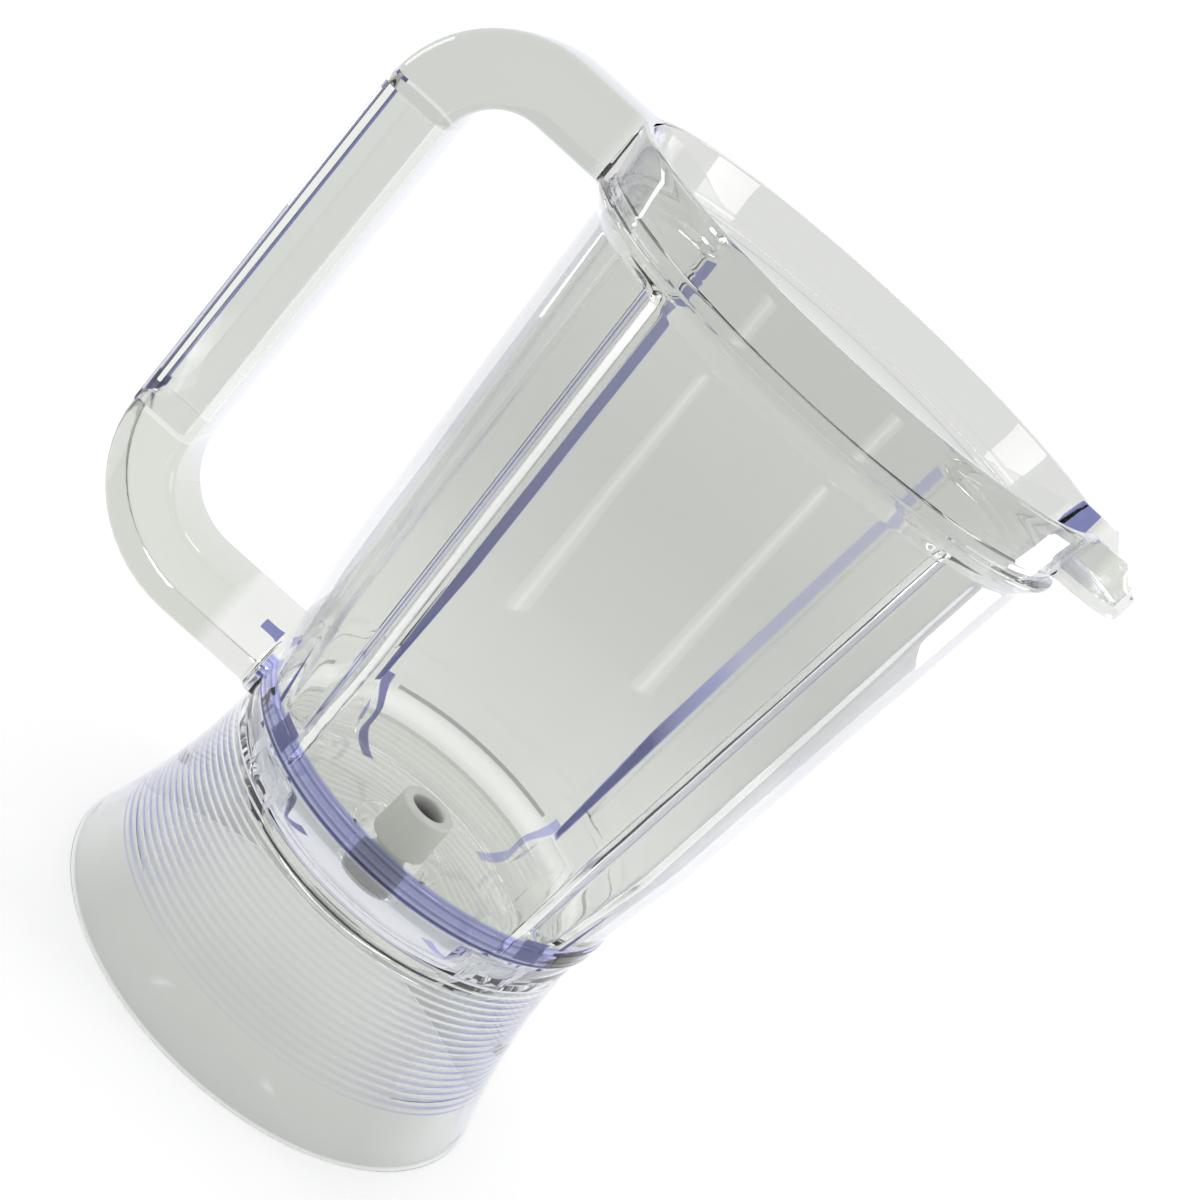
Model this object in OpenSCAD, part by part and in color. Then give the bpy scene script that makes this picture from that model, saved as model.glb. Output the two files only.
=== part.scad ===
// Blender jar: one clear moulding with a tapered fluted vessel, a collar with a pouring
// spout, a D-shaped handle and a flared skirt to stand on, and a spindle bush through its floor.
// Millimetres, +Z up. The jar's axis is the Z axis and it stands on z = 0.
// The handle points to -X and the spout to +X.

/* [Vessel] */
// Height of the rim above the surface the jar stands on
jar_height = 227; // [190:1:260]
// Outer radius of the rim
rim_radius = 70; // [60:0.5:80]
// Height of the collar from the ledge up to the rim
collar_height = 15.4; // [10:0.2:24]
// How much the collar's radius shrinks from the rim down to the ledge
collar_taper = 2.4; // [0:0.1:4]
// Thickness of the collar wall
collar_wall = 2.6; // [1.8:0.1:3.4]
// How far the ledge stands out from the foot of the collar
ledge_width = 2.2; // [1:0.1:4]
// Thickness of the ledge at its edge
ledge_wall = 1.4; // [0.8:0.1:3]
// Height of the sloping face under the ledge
ledge_slope = 4.6; // [2:0.2:8]
// How far the vessel's wall lies inside the foot of the collar
vessel_step = 1.6; // [0.4:0.1:4]
// Outer radius of the vessel where its lower curve begins
vessel_mid_radius = 58.6; // [50:0.2:64]
// Height at which the lower curve begins
vessel_mid_height = 100; // [85:1:120]
// Outer radius of the neck between vessel and skirt
neck_radius = 53.6; // [45:0.2:58]
// Height of the neck, where the skirt begins
neck_height = 64; // [54:0.5:74]
// Thickness of the moulded wall
wall = 2.8; // [2:0.1:3.6]
// Thickness of the wall at the neck
neck_wall = 3.2; // [2.4:0.1:4.4]
// Height of the lid seat above the ledge
seat_rise = 2.4; // [1:0.1:5]
// Size of the bevels at the edges of the lid seat
seat_edge = 0.6; // [0.2:0.1:1.2]

/* [Neck bead] */
// Height of the low bead around the neck
bead_height = 7; // [4:0.5:10]
// How far the bead stands out from the neck
bead_depth = 1.2; // [0.6:0.1:2]

/* [Floor] */
// Height of the upper face of the floor
floor_height = 48; // [42:0.5:52]
// Thickness of the floor
floor_wall = 3; // [2.4:0.1:4]
// Radius of the bowl that joins wall and floor
bowl_radius = 14; // [8:0.5:16]
// Radius of the low boss around the bush
boss_radius = 14; // [11:0.5:18]
// Height of that boss above the floor
boss_rise = 2; // [1:0.1:3]
// Radius of the sleeve that holds the bush under the floor
sleeve_radius = 10.5; // [9:0.5:13]
// Length of the sleeve under the floor
sleeve_drop = 9; // [5:0.5:11]
// Outer radius of the guard ring under the floor
guard_radius = 45; // [36:0.5:46]
// Depth of the guard ring below the underside of the floor
guard_drop = 1.5; // [0.5:0.5:8]
// Thickness of the guard ring
guard_wall = 2.4; // [1.8:0.1:3.2]

/* [Flutes] */
// Height at which the flutes begin, below the ledge
flute_gap = 5.6; // [3:0.2:9]
// Width of a flute on the outside of the vessel
flute_width = 19; // [12:0.5:22]
// Depth of a flute at the top of the vessel
flute_depth = 4.6; // [3:0.2:7]
// Radius from the axis to the bottom of a flute at the height of the neck
flute_low_radius = 50.6; // [44:0.2:52]
// Rounding at the bottom of a flute
flute_round = 1.6; // [1:0.1:3]
// Height of the lower end of the flutes above the neck
flute_foot = 9; // [7:0.5:14]

/* [Heels of the flutes] */
// Width of the hollow heel at the lower end of a flute
heel_width = 16.6; // [12:0.2:20]
// Radius from the axis to the inner face of a heel
heel_radius = 43; // [40:0.2:45]
// Height above the floor at which the heel's shoulder begins
heel_rise = 7.5; // [5:0.5:10]
// Rounding of the shoulder
heel_round = 5; // [4:0.2:7]
// Angle of the sloping top of a heel above level
heel_slope = 43; // [30:1:50]

/* [Skirt] */
// Outer radius of the foot of the skirt
foot_radius = 64.8; // [58:0.2:74]
// Thickness of the skirt
skirt_wall = 2.6; // [2:0.1:3.4]
// Height of the plain band at the foot
plain_band = 16; // [10:0.5:22]
// Spacing of the moulded rings inside the skirt
ring_pitch = 2.1; // [1.6:0.1:3]
// Depth of each moulded ring
ring_depth = 0.55; // [0.3:0.05:0.8]
// Height of the topmost ring above the surface
ring_top = 56; // [46:0.5:60]

/* [Handle] */
// Distance from the axis to the outer face of the grip
handle_reach = 120.6; // [108:0.5:135]
// Thickness of the handle in its own plane
handle_thick = 18; // [14:0.5:22]
// Width of the handle across its own plane
handle_width = 24; // [18:0.5:30]
// Rounding along the edges of the handle
handle_edge = 4; // [2:0.5:6]
// Outer radius of the upper corner
upper_corner = 33; // [26:1:36]
// Outer radius of the lower corner
lower_corner = 38; // [28:1:42]
// Height of the underside of the lower arm
handle_low = 58; // [50:0.5:66]
// Thickness of the pocket's side walls and of its back
pocket_wall = 3; // [2:0.1:4]
// Rounding where the arms of the handle meet the jar
handle_fillet = 3; // [1.5:0.1:4]

/* [Spout] */
// Distance from the axis to the tip of the spout
spout_reach = 86.8; // [82:0.2:94]
// Radius of the spout's round plan
spout_radius = 18.4; // [14:0.2:22]
// Height of the spout's underside below the rim
spout_drop = 12.8; // [9:0.2:14]
// Thickness of the spout's wall
spout_wall = 2.4; // [1.8:0.1:3]
// Rounding where the spout's sides leave the collar
spout_fillet = 4; // [2:0.2:6]
// Length of the lowered lip, measured back from the tip
lip_length = 10.4; // [7:0.2:14]
// Length over which the edge drops from the rim to the lip
lip_ramp = 2.2; // [1:0.1:4]
// Drop from the rim to the lip
lip_drop = 3.2; // [1:0.1:5]
// Further fall of the lip toward its tip
lip_fall = 1.6; // [0.4:0.1:3]
// Rounding at the tip's upper edge
lip_round = 5; // [2:0.2:6]
// Bevel at the tip's lower edge
lip_bevel = 1.2; // [0.4:0.1:2]

/* [Spindle bush] */
// Height of the upper face of the bush
bush_top = 62.5; // [56:0.5:70]
// Height of the lower face of the bush
bush_bottom = 32; // [28:0.5:34]
// Outer radius of the bush where the floor holds it
bush_radius = 7.2; // [6:0.1:7.8]
// Outer radius of the bush above its shoulder
bush_head_radius = 8.3; // [8:0.1:10]
// Bevel at the upper outer edge of the bush
bush_crown = 1.2; // [0.6:0.1:2]
// Radius of the bore for the drive spindle
bore_radius = 4.2; // [3:0.1:5]
// Bevel at the other edges of the bush
bush_bevel = 0.8; // [0.4:0.1:1.2]

/* [Hidden] */
$fn = 96;
// overrun of the cuts
overrun = 1;
// how far straight faces run on inside the roundings that they join
tuck = 0.04;
// collar and ledge
ledge_top = jar_height - collar_height;
ledge_low = ledge_top - ledge_wall;
slope_low = ledge_low - ledge_slope;
collar_foot_radius = rim_radius - collar_taper;
ledge_radius = collar_foot_radius + ledge_width;
vessel_top_radius = collar_foot_radius - vessel_step;
vessel_inner = vessel_top_radius - wall;
seat_height = ledge_top + seat_rise;
seat_radius = collar_foot_radius - collar_wall;
// neck, floor and bowl
bead_top = neck_height + bead_height;
neck_inner = neck_radius - neck_wall;
bowl_height = floor_height + bowl_radius;
bowl_centre = neck_inner - bowl_radius;
floor_under = floor_height - floor_wall;
boss_top = floor_height + boss_rise;
sleeve_low = floor_under - sleeve_drop;
// skirt: one arc, upright at the neck and passing through the foot
flare_out = foot_radius - neck_radius;
flare_radius = (neck_height * neck_height + flare_out * flare_out) / (2 * flare_out);
flare_centre = neck_radius + flare_radius;
ring_count = floor((ring_top - plain_band) / ring_pitch);
ring_tip_share = 0.1;
// flutes lean with the wall
flute_slope = (vessel_top_radius - flute_depth - flute_low_radius) / (slope_low - neck_height);
flute_lean = atan(flute_slope);
flute_side = atan(flute_width / 2 / flute_depth);
flute_low = neck_height + flute_foot;
flute_top = ledge_top - flute_gap;
flute_angles = [45, 135, 225, 315];
// handle
grip_top = jar_height - upper_corner;
grip_low = handle_low + lower_corner;
pocket_half = handle_width / 2 - pocket_wall;
root_sink = 0.3;
// spout
spout_under = jar_height - spout_drop;
spout_centre = spout_reach - spout_radius;
lip_start = spout_reach - lip_length;

// Radius of the inner face of the skirt at a height
function skirt_inner(z) = flare_centre
    - sqrt(pow(flare_radius + skirt_wall, 2) - pow(neck_height - z, 2));

// Outline of the vessel and collar, filled to the axis
module vessel_outline() {
    polygon([
        [0, floor_under], [neck_radius, floor_under], [neck_radius, neck_height],
        [neck_radius + bead_depth, neck_height + bead_depth],
        [neck_radius + bead_depth, bead_top - bead_depth],
        [neck_radius + bead_depth / 2, bead_top],
        [vessel_mid_radius, vessel_mid_height], [vessel_top_radius, slope_low],
        [ledge_radius, ledge_low], [ledge_radius, ledge_top], [collar_foot_radius, ledge_top],
        [rim_radius, jar_height], [0, jar_height]
    ]);
}

// Room inside the vessel, down to the flat of the floor
module vessel_room() {
    collar_lean = collar_taper / collar_height;
    difference() {
        union() {
            polygon([
                [0, bowl_height], [neck_inner, bowl_height],
                [vessel_mid_radius - wall, vessel_mid_height], [vessel_inner, slope_low],
                [vessel_inner, seat_height - seat_edge],
                [vessel_inner + seat_edge, seat_height],
                [seat_radius + seat_rise * collar_lean - seat_edge, seat_height],
                [seat_radius + seat_rise * collar_lean, seat_height + seat_edge],
                [rim_radius - collar_wall, jar_height],
                [rim_radius - collar_wall, jar_height + overrun], [0, jar_height + overrun]
            ]);
            intersection() {
                translate([bowl_centre, bowl_height]) circle(bowl_radius);
                translate([bowl_centre, floor_height]) square([bowl_radius, bowl_radius]);
            }
            translate([0, floor_height]) square([bowl_centre, bowl_radius]);
        }
        // the boss around the bush stays
        translate([0, floor_under]) square([boss_radius, boss_top - floor_under]);
    }
}

// Solid of the skirt, filled to the axis
module skirt_outline() {
    difference() {
        square([foot_radius + flare_out, neck_height]);
        translate([flare_centre, neck_height]) circle(flare_radius, $fn = 360);
    }
}

// Room under the floor, with the moulded rings left standing on the skirt
module skirt_room() {
    difference() {
        square([foot_radius, neck_height - neck_wall]);
        translate([flare_centre, neck_height]) circle(flare_radius + skirt_wall, $fn = 360);
        for (i = [0 : ring_count - 1]) {
            low = plain_band + i * ring_pitch;
            high = low + ring_pitch;
            polygon([
                [skirt_inner(low) + skirt_wall / 2, low], [skirt_inner(low) - ring_depth, low],
                [skirt_inner(high) - ring_depth * ring_tip_share, high],
                [skirt_inner(high) + skirt_wall / 2, high]
            ]);
        }
        // bowl, floor, guard ring and sleeve stay
        intersection() {
            translate([bowl_centre, bowl_height]) circle(bowl_radius + floor_wall);
            translate([bowl_centre, floor_under])
                square([bowl_radius + floor_wall, bowl_radius + floor_wall]);
        }
        translate([0, floor_under]) square([bowl_centre, bowl_radius]);
        translate([guard_radius - guard_wall, floor_under - guard_drop])
            square([guard_wall, bowl_radius]);
        translate([0, sleeve_low]) square([sleeve_radius, sleeve_drop + floor_wall]);
    }
}

// Section of a flute, its point toward the axis; push adds the wall on its inner side
module flute_section(push) {
    nose = flute_round + push;
    reach = nose - tuck;
    centre = flute_round / sin(flute_side);
    start = centre - reach * sin(flute_side);
    far = rim_radius - flute_low_radius + wall;
    spread = reach * cos(flute_side) + (far - start) * tan(flute_side);
    translate([centre, 0]) circle(nose, $fn = 64);
    polygon([
        [start, reach * cos(flute_side)], [far, spread],
        [far, -spread], [start, -reach * cos(flute_side)]
    ]);
}

// One leaning bar with the flute's section, cut level at its ends
module flute_bar(push, low, high) {
    intersection() {
        translate([flute_low_radius, 0, neck_height]) rotate([0, flute_lean, 0])
            translate([0, 0, -neck_height])
                linear_extrude(jar_height + neck_height) flute_section(push);
        translate([0, -rim_radius, low]) cube([rim_radius * 2, rim_radius * 2, high - low]);
    }
}

// Side view of a heel, X away from the axis; push adds the wall
module heel_side(push) {
    round = heel_round - wall + push;
    centre_x = heel_radius + heel_round;
    centre_z = floor_height + heel_rise;
    back = neck_radius - skirt_wall / 2;
    rise_x = centre_x - (round - tuck) * sin(heel_slope);
    rise_z = centre_z + (round - tuck) * cos(heel_slope);
    translate([centre_x, centre_z]) circle(round, $fn = 64);
    polygon([
        [centre_x - round, floor_under], [centre_x - round, centre_z], [rise_x, rise_z],
        [back, rise_z + (back - rise_x) * tan(heel_slope)], [back, floor_under]
    ]);
}

// Hollow heel at the lower end of a flute: its outside with push = wall, its hollow with 0
module flute_heel(push) {
    half = heel_width / 2 - wall + push;
    rotate([90, 0, 0]) linear_extrude(half * 2, center = true) heel_side(push);
}

// Section of the handle, thickness along X and width along Y
module handle_section() {
    flat_width = handle_width - handle_edge * 2;
    flat_thick = handle_thick - handle_edge * 2;
    for (sx = [-1, 1]) for (sy = [-1, 1])
        translate([sx * flat_thick / 2, sy * flat_width / 2]) circle(handle_edge, $fn = 48);
    square([handle_thick, flat_width], center = true);
    square([flat_thick, handle_width], center = true);
}

// Straight length of the handle, standing on z = 0
module handle_bar(length) {
    linear_extrude(length) handle_section();
}

// Quarter turn of the handle about the Y direction, outer radius given
module handle_turn(outer) {
    rotate([90, 0, 0]) rotate_extrude(angle = 90)
        translate([outer - handle_thick / 2, 0]) handle_section();
}

module handle_form() {
    middle = handle_thick / 2;
    flat_thick = handle_thick - handle_edge * 2;
    upper_x = upper_corner - handle_reach;
    lower_x = lower_corner - handle_reach;
    // grip
    translate([middle - handle_reach, 0, grip_low]) handle_bar(grip_top - grip_low);
    // upper corner and arm
    translate([upper_x, 0, grip_top]) mirror([1, 0, 0]) handle_turn(upper_corner);
    translate([upper_x, 0, jar_height - middle]) rotate([0, 90, 0])
        handle_bar(-upper_x - vessel_inner);
    // lower corner and arm
    translate([lower_x, 0, grip_low]) mirror([1, 0, 0]) mirror([0, 0, 1])
        handle_turn(lower_corner);
    translate([lower_x, 0, handle_low + middle]) rotate([0, 90, 0])
        handle_bar(-lower_x - neck_inner);
    // rounded roots of both arms
    translate([0, 0, jar_height - handle_thick + handle_edge]) linear_extrude(flat_thick)
        mirror([1, 0]) root_fillets(handle_width / 2, collar_foot_radius, handle_fillet);
    translate([0, 0, handle_low + handle_edge]) linear_extrude(flat_thick)
        mirror([1, 0]) root_fillets(handle_width / 2, neck_radius - root_sink, handle_fillet);
}

// Open pocket along the outer face of the grip
module handle_pocket() {
    translate([-handle_reach - overrun, -pocket_half, grip_low])
        cube([handle_thick - pocket_wall + overrun, pocket_half * 2, grip_top - grip_low]);
}

// Plan of the fillets where a form of some half width leaves a round face toward +X
module root_fillets(half, face, fillet) {
    centre_y = half + fillet;
    centre_x = sqrt(pow(face + fillet, 2) - centre_y * centre_y);
    inside_share = (face - wall / 2) / (face + fillet);
    for (side = [-1, 1]) difference() {
        polygon([
            [centre_x, side * (half - tuck)], [centre_x, side * centre_y],
            [centre_x * inside_share, side * centre_y * inside_share],
            [centre_x * inside_share, side * (half - tuck)]
        ]);
        translate([centre_x, side * centre_y]) circle(fillet, $fn = 64);
    }
}

// Plan of the spout, pulled in by a wall
module spout_plan(inset) {
    half = spout_radius - inset;
    back = sqrt(pow(seat_radius, 2) - half * half) - overrun;
    translate([spout_centre, 0]) circle(half);
    translate([back, -half]) square([spout_centre - back, half * 2]);
}

// Side view of the spout with its lowered lip
module spout_side() {
    tip_x = spout_reach - lip_round;
    tip_z = jar_height - lip_drop - lip_fall - lip_round;
    slope = atan(lip_fall / (tip_x - lip_start - lip_ramp));
    back = vessel_inner - spout_radius;
    translate([tip_x, tip_z]) circle(lip_round, $fn = 64);
    polygon([
        [back, spout_under], [spout_reach - lip_bevel, spout_under],
        [spout_reach, spout_under + lip_bevel], [spout_reach, tip_z],
        [tip_x + (lip_round - tuck) * sin(slope), tip_z + (lip_round - tuck) * cos(slope)],
        [lip_start + lip_ramp, jar_height - lip_drop], [lip_start, jar_height],
        [back, jar_height]
    ]);
}

module spout_form() {
    intersection() {
        translate([0, 0, spout_under]) linear_extrude(spout_drop) {
            spout_plan(0);
            root_fillets(spout_radius, collar_foot_radius, spout_fillet);
        }
        rotate([90, 0, 0])
            linear_extrude((spout_radius + spout_fillet + overrun) * 2, center = true)
                spout_side();
    }
}

module spout_channel() {
    translate([0, 0, spout_under + spout_wall])
        linear_extrude(spout_drop) spout_plan(spout_wall);
}

module jar_body() {
    color([0.86, 0.89, 0.9, 0.4])
    difference() {
        union() {
            difference() {
                union() {
                    rotate_extrude() vessel_outline();
                    rotate_extrude() skirt_outline();
                    handle_form();
                    spout_form();
                }
                rotate_extrude() vessel_room();
                rotate_extrude() skirt_room();
                spout_channel();
            }
            // inner side of the flutes and their heels
            intersection() {
                rotate_extrude() vessel_outline();
                for (a = flute_angles) rotate([0, 0, a]) {
                    flute_bar(wall, floor_height, flute_top + wall);
                    flute_heel(wall);
                }
            }
        }
        for (a = flute_angles) rotate([0, 0, a]) flute_bar(0, flute_low, flute_top);
        intersection() {
            cylinder(r = neck_radius - skirt_wall, h = neck_height);
            for (a = flute_angles) rotate([0, 0, a]) flute_heel(0);
        }
        handle_pocket();
        // hole that holds the bush
        translate([0, 0, sleeve_low - overrun])
            cylinder(r = bush_radius, h = boss_top - sleeve_low + overrun * 2);
    }
}

module spindle_bush() {
    color([0.8, 0.8, 0.78])
    rotate_extrude() polygon([
        [bore_radius + bush_bevel, bush_bottom], [bush_radius - bush_bevel, bush_bottom],
        [bush_radius, bush_bottom + bush_bevel], [bush_radius, boss_top],
        [bush_head_radius, boss_top], [bush_head_radius, bush_top - bush_crown],
        [bush_head_radius - bush_crown, bush_top], [bore_radius + bush_bevel, bush_top],
        [bore_radius, bush_top - bush_bevel], [bore_radius, bush_bottom + bush_bevel]
    ]);
}

jar_body();
spindle_bush();
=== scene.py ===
"""A clear blender jar: one moulded body with flutes, heels, rings, spout and handle, and a bush in its floor."""

import math

import bpy
import numpy as np
from mathutils import Euler, Matrix, Vector


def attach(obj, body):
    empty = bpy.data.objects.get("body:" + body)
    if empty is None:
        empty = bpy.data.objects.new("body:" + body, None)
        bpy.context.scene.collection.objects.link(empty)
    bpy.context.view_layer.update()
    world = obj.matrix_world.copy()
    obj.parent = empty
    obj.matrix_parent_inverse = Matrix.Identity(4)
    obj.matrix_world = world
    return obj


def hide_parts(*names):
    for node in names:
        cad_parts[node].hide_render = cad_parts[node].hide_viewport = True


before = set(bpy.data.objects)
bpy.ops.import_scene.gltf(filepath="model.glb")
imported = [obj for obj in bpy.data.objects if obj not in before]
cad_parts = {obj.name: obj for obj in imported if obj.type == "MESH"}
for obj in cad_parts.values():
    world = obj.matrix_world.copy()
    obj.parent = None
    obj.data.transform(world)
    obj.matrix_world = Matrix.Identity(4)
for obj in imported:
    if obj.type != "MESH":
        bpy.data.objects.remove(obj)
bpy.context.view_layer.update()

MM = 0.001
FLUTES = (45, 135, 225, 315)

# Heights and radii of the jar, millimetres
RIM_HEIGHT, RIM_RADIUS, RIM_INNER = 227, 70, 67.4
LEDGE_TOP, LEDGE_LOW, LEDGE_RADIUS, COLLAR_FOOT = 211.6, 210.2, 69.8, 67.6
COLLAR_LEAN = (RIM_RADIUS - COLLAR_FOOT) / (RIM_HEIGHT - LEDGE_TOP)
SEAT, SEAT_RADIUS = 214, 65.37
SLOPE_LOW = 205.6
NECK, NECK_RADIUS, NECK_INNER = 64, 53.6, 50.4
FLOOR, UNDER, BOSS, BOSS_RADIUS = 48, 45, 50, 14
HOLE, SLEEVE, SLEEVE_LOW = 7.26, 10.5, 36
BOWL, BOWL_X, BOWL_Z = 14, 36.4, 62
GUARD_IN, GUARD_OUT, GUARD_LOW = 42.6, 45, 43.5
FOOT, SKIRT_WALL, FLARE, FLARE_X = 64.8, 2.6, 188.46, 242.06
BAND, PITCH, RING = 16, 2.1, 0.55
CREVICE_Z = 53.7
WALL = 2.8
FLUTE_ROUND, FLUTE_SIDE = 1.6, math.radians(64.17)
FLUTE_X, FLUTE_LEAN = 50.6, 0.0763
FLUTE_LOW, FLUTE_TOP = 73, 206
HEEL, HEEL_X, HEEL_Z = 5, 48, 55.5
SPOUT_X, SPOUT_HALF, CHANNEL_HALF = 68.4, 18.4, 16
SPOUT_UNDER, CHANNEL, SPOUT_TIP = 214.2, 216.6, 86.8
LIP_X, LIP_RAMP, LIP_DROP, LIP_FALL, LIP_ROUND = 76.4, 2.2, 3.2, 1.6, 5


def soft_step(value, low, high):
    """0 up to low, 1 from high, and 3t^2 - 2t^3 between them."""
    t = np.clip((value - low) / (high - low), 0, 1)
    return t * t * (3 - 2 * t)


def soft_min(a, b, blend):
    """The lesser of two radii, with blend^2 taken off where they are closer than blend."""
    near = np.maximum(blend - np.abs(a - b), 0) / blend
    return np.minimum(a, b) - near * near * blend / 4


def soft_max(a, b, blend):
    """The greater of two radii, rounded in the same way."""
    return -soft_min(-a, -b, blend)


def arc(x, z, radius, first, last, count):
    """Points on a circle about x, z, between two angles in degrees."""
    a = np.radians(np.linspace(first, last, count))
    return np.stack([x + radius * np.cos(a), z + radius * np.sin(a)], 1)


def softened(points, radius, steps=4):
    """An open line whose inner corners are quadratic curves that begin radius before each corner."""
    p = np.array(points, float)
    before, corner, after = p[:-2], p[1:-1], p[2:]

    def toward(end):
        gap = end - corner
        length = np.linalg.norm(gap, axis=1, keepdims=True)
        return corner + gap / length * np.minimum(radius, length * 0.45)

    a, b = toward(before), toward(after)
    t = np.linspace(0, 1, steps)[None, :, None]
    curves = (1 - t) ** 2 * a[:, None] + 2 * t * (1 - t) * corner[:, None] + t**2 * b[:, None]
    return np.concatenate([p[:1], curves.reshape(-1, 2), p[-1:]])


def spaced(points, count):
    """The same line with its points at even steps of its length."""
    p = np.array(points, float)
    run = np.concatenate([[0], np.cumsum(np.linalg.norm(np.diff(p, axis=0), axis=1))])
    at = np.linspace(0, run[-1], count)
    return np.stack([np.interp(at, run, p[:, 0]), np.interp(at, run, p[:, 1])], 1)


def turn_angles():
    """Angles round the jar, closest over the flutes and the spout: evenly spaced in summed density."""
    marks = np.arange(0, 360, 0.05)
    density = np.full(marks.shape, 1 / 2.5)
    for middle in FLUTES:
        density[np.abs(marks - middle) < 12.5] = 1 / 0.85
    density[np.abs((marks + 180) % 360 - 180) < 18] = 1 / 0.8
    total = np.concatenate([[0], np.cumsum(density) * 0.05])
    count = int(total[-1])
    return np.radians(np.interp(np.arange(count) / count * total[-1], total, np.append(marks, 360)))


TURN = turn_angles()
OFF = np.radians(np.abs((np.degrees(TURN) % 90) - 45))  # angle from the nearest flute
SIDE = np.abs((TURN + np.pi) % (2 * np.pi) - np.pi)  # angle from the spout


def level(profile):
    """Radii and heights of a plain turned stretch: the same at each angle."""
    p = np.array(profile, float)
    return np.repeat(p[:, :1], len(TURN), 1), np.repeat(p[:, 1:], len(TURN), 1)


def flute_radius(z, push):
    """Where a ray from the axis meets a flute, a rounded V that leans with the wall, by repeated steps."""
    nose = FLUTE_ROUND + push
    centre = FLUTE_ROUND / math.sin(FLUTE_SIDE)
    edge_y, edge_x = nose * math.cos(FLUTE_SIDE), centre - nose * math.sin(FLUTE_SIDE)
    apex = FLUTE_X + FLUTE_LEAN * (z - NECK)
    r = apex / np.cos(OFF)
    for _ in range(12):
        y = r * np.sin(OFF)
        bow = centre - np.sqrt(np.maximum(nose**2 - np.minimum(y, edge_y) ** 2, 0))
        v = np.where(y < edge_y, bow, edge_x + (y - edge_y) / math.tan(FLUTE_SIDE))
        r = (apex + v) / np.cos(OFF)
    return r


def inner_wall(z):
    """Radius of the vessel's inner face with the ribs of the flutes standing in from it."""
    z = np.asarray(z, float)[:, None]
    plain = np.interp(z, [62, 100, SLOPE_LOW, SEAT], [NECK_INNER, 55.8, 63.2, 63.2]) + 0 * OFF
    rib = flute_radius(z, WALL)
    top = np.sqrt(1 - np.clip((z - 207.1) / 1.7, 0, 1) ** 2)
    return soft_min(plain, plain - np.maximum(plain - rib, 0) * top, 0.3 * top + 1e-6), z + 0 * OFF


def outer_wall(z):
    """Radius of the vessel's outer face with the flutes pressed into it."""
    z = np.asarray(z, float)[:, None]
    plain = np.interp(z, [71, 100, SLOPE_LOW, 207], [54.2, 58.6, 66, 67.16]) + 0 * OFF
    depth = np.sqrt(1 - np.clip((FLUTE_LOW + 1.2 - z) / 1.2, 0, 1) ** 2)
    depth = depth * np.sqrt(1 - np.clip((z - FLUTE_TOP + 1.2) / 1.2, 0, 1) ** 2)
    cut = np.maximum(soft_max(plain - flute_radius(z, 0), 0 * plain, 0.7), 0) * depth
    return plain - cut, z + 0 * OFF


def heel_stretch(plain, heel, fade, width_low, width_high, top):
    """Rows that pass from a plain line to a heel's line across the heel's sides, by a soft step of the angle."""
    w = 1 - soft_step(np.degrees(OFF), width_low, width_high)
    share = np.clip(1 - np.arange(len(plain)) / fade, 0, 1)[:, None]
    radius = (plain[:, :1] + share * (top - plain[0, 0])) * (1 - w)
    reach = heel[:, :1] + share * (top * np.cos(OFF) - heel[0, 0])
    return radius + w * reach / np.cos(OFF), plain[:, 1:] * (1 - w) + heel[:, 1:] * w


def spout_radius(half):
    """Distance from the axis to the spout's plan: a round end about SPOUT_X, with straight sides."""
    s = np.maximum(np.abs(np.sin(SIDE)), 1e-6)
    round_end = SPOUT_X * np.cos(SIDE) + np.sqrt(np.maximum(half**2 - (SPOUT_X * s) ** 2, 0))
    r = np.where(np.tan(SIDE) < half / SPOUT_X, round_end, half / s)
    return np.where(SIDE < math.radians(25), r, 0)


def rim_height(x):
    """Height of the rim at a distance along the spout: level, a short ramp, a slow fall, then a round tip."""
    tip = SPOUT_TIP - LIP_ROUND
    flat = RIM_HEIGHT - LIP_DROP * soft_step(x, LIP_X, LIP_X + LIP_RAMP + 0.6)
    fall = LIP_FALL * np.clip((x - LIP_X - LIP_RAMP) / (tip - LIP_X - LIP_RAMP), 0, 1)
    bow = LIP_ROUND - np.sqrt(np.maximum(LIP_ROUND**2 - np.clip(x - tip, 0, LIP_ROUND) ** 2, 0))
    return flat - fall - bow


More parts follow.
